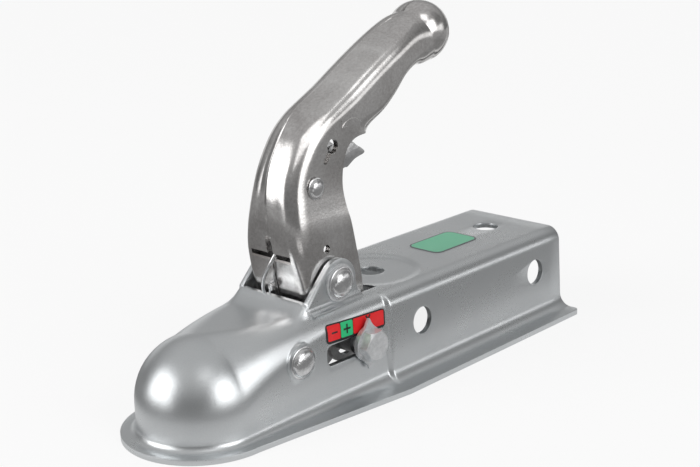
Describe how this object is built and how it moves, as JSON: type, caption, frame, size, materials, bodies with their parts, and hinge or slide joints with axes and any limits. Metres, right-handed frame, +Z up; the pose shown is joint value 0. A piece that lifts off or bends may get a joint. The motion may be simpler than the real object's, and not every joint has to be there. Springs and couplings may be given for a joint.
{
  "type": "trailer coupling head",
  "caption": "Pressed-steel trailer coupling head with a ball cup, drawbar channel, tall folded lever, safety catch, wear indicator and clamping ball jaw.",
  "frame": {"origin": "centre of the ball cup, where the centre of a seated towing ball lies", "axes": "+X from the ball to the rear end of the drawbar channel, +Z up from the flange to the lever, +Y across the coupling to the side without the indicator"},
  "size_m": [0.2569, 0.089, 0.1683],
  "materials": {
    "housing_zinc": "bright zinc plate, satin",
    "lever_zinc": "zinc plate, slightly darker and mottled",
    "bright_steel": "bright zinc plate",
    "dark_steel": "plain steel, dull",
    "label_print": "printed film",
    "decal_print": "printed film"
  },
  "bodies": {
    "coupling": {"housing": "housing_zinc", "handle_rivet": "bright_steel", "handle_rivet_rings": "bright_steel", "handle_bush": "dark_steel", "jaw_rivet": "bright_steel", "jaw_bush": "dark_steel", "jaw_spacers": "dark_steel", "indicator_label": "label_print", "top_decal": "decal_print"},
    "lever": {"handle": "lever_zinc", "handle_spring": "dark_steel", "detent_wire": "bright_steel", "catch_rivet": "bright_steel", "catch_bush": "dark_steel", "catch_spring": "dark_steel"},
    "catch": {"safety_catch": "bright_steel"},
    "slide": {"slide_bolt": "bright_steel", "pointer_plate": "bright_steel", "slide_washer": "bright_steel", "far_washer": "bright_steel", "lock_nut": "bright_steel", "slide_sleeve": "dark_steel", "push_link": "dark_steel"},
    "jaw": {"ball_jaw": "dark_steel", "jaw_spring": "dark_steel"}
  },
  "joints": [
    {"name": "lever_hinge", "type": "hinge", "parent": "coupling", "child": "lever", "pos_m": [0.065, 0, 0.038], "axis": [0, 1, 0], "range_deg": [0, 38]},
    {"name": "catch_hinge", "type": "hinge", "parent": "lever", "child": "catch", "pos_m": [0.059, 0, 0.081], "axis": [0, 1, 0], "range_deg": [-8, 0], "stiffness_Nm_per_rad": 0.5, "springref_deg": 5.73},
    {"name": "slide_travel", "type": "slide", "parent": "coupling", "child": "slide", "axis": [-1, 0, 0], "range_m": [0, 0.0197]},
    {"name": "jaw_hinge", "type": "hinge", "parent": "coupling", "child": "jaw", "pos_m": [0.033, 0, 0.012], "axis": [0, 1, 0], "range_deg": [0, 12.1]}
  ],
  "couplings": [
    {"joint": "slide_travel", "follows": "lever_hinge", "m_per_rad": 0.02955},
    {"joint": "jaw_hinge", "follows": "lever_hinge", "ratio": 0.3158}
  ]
}
